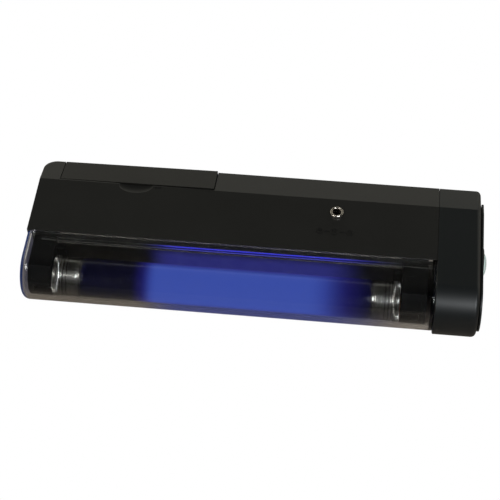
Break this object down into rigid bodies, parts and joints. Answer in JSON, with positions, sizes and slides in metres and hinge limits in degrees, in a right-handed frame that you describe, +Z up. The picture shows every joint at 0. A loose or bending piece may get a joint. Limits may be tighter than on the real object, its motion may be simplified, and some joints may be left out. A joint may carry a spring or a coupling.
{
  "type": "counterfeit bill detector",
  "caption": "Handheld battery counterfeit bill detector: a long black housing with a clear-windowed blacklight tube along its front, a DC jack on its face and a small torch in its end.",
  "frame": {"origin": "middle of the underside, on the surface that the detector lies on", "axes": "+X along the length towards the torch end, +Z up through the main face, -Y towards the lamp side"},
  "size_m": [0.1818, 0.0636, 0.0262],
  "materials": {
    "black_plastic": "fine-textured moulded black ABS",
    "holder_plastic": "moulded black nylon",
    "door_plastic": "fine-textured moulded black ABS",
    "clear_plastic": "clear polished polycarbonate",
    "lamp_glass": "deep blue filter glass, lit",
    "lamp_aluminium": "drawn and crimped, satin to bright",
    "reflector_sheet": "bright rolled sheet",
    "phenolic": "brown pressed phenolic",
    "brass": "bright turned and stamped brass",
    "spring_steel": "nickel-plated spring steel",
    "nickel": "nickel plate",
    "cell_sleeve": "satin sleeve over a steel can",
    "board": "paper phenolic circuit board",
    "ferrite": "sintered ferrite",
    "copper": "enamelled copper wire winding",
    "transistor_body": "moulded epoxy",
    "capacitor_sleeve": "heat-shrunk sleeve",
    "clear_glass": "clear glass",
    "torch_mirror": "vacuum-plated bright plastic",
    "screw_steel": "zinc-plated steel"
  },
  "bodies": {
    "housing": {"upper_housing": "black_plastic", "lower_housing": "black_plastic", "end_cap": "black_plastic", "jack_socket": "black_plastic", "lamp_holder_left": "holder_plastic", "lamp_holder_right": "holder_plastic", "torch_bulb": "clear_glass", "torch_reflector": "torch_mirror", "torch_bulb_base": "brass", "lamp_reflector": "reflector_sheet", "battery_spring_left": "spring_steel", "battery_spring_right": "spring_steel", "battery_bridge": "spring_steel", "battery_terminal_plus": "spring_steel", "battery_terminal_minus": "spring_steel", "switch_body": "spring_steel", "inverter_board": "board", "transformer_core": "ferrite", "transformer_winding": "copper", "power_transistor": "transistor_body", "capacitor_1": "capacitor_sleeve", "capacitor_2": "capacitor_sleeve", "jack_ring": "nickel", "lamp_contact_left_upper": "brass", "lamp_contact_left_lower": "brass", "lamp_contact_right_upper": "brass", "lamp_contact_right_lower": "brass", "battery_cell_back_1": "cell_sleeve", "battery_cell_back_2": "cell_sleeve", "battery_cell_front_1": "cell_sleeve", "battery_cell_front_2": "cell_sleeve", "housing_screw_1": "screw_steel", "housing_screw_2": "screw_steel", "housing_screw_3": "screw_steel", "housing_screw_4": "screw_steel"},
    "battery_door": {"battery_door": "door_plastic"},
    "clear_window": {"clear_window": "clear_plastic"},
    "lamp": {"lamp_tube": "lamp_glass", "lamp_cap_left": "lamp_aluminium", "lamp_base_left": "phenolic", "lamp_pin_left_upper": "brass", "lamp_pin_left_lower": "brass", "lamp_cap_right": "lamp_aluminium", "lamp_base_right": "phenolic", "lamp_pin_right_upper": "brass", "lamp_pin_right_lower": "brass"},
    "switch_knob": {"switch_knob": "black_plastic"},
    "torch_cover": {"torch_cover": "black_plastic", "torch_lens": "clear_glass"}
  },
  "joints": [
    {"name": "battery_door_slide", "type": "slide", "parent": "housing", "child": "battery_door", "axis": [0, 1, 0], "range_m": [0, 0.02]},
    {"name": "window_slide", "type": "slide", "parent": "housing", "child": "clear_window", "axis": [0, -1, 0], "range_m": [0, 0.03]},
    {"name": "lamp_twist", "type": "hinge", "parent": "housing", "child": "lamp", "pos_m": [0, -0.0208, 0.0129], "axis": [1, 0, 0], "range_deg": [0, 90]},
    {"name": "switch_slide", "type": "slide", "parent": "housing", "child": "switch_knob", "axis": [1, 0, 0], "range_m": [0, 0.006]},
    {"name": "torch_cover_slide", "type": "slide", "parent": "housing", "child": "torch_cover", "axis": [1, 0, 0], "range_m": [0, 0.012]}
  ]
}
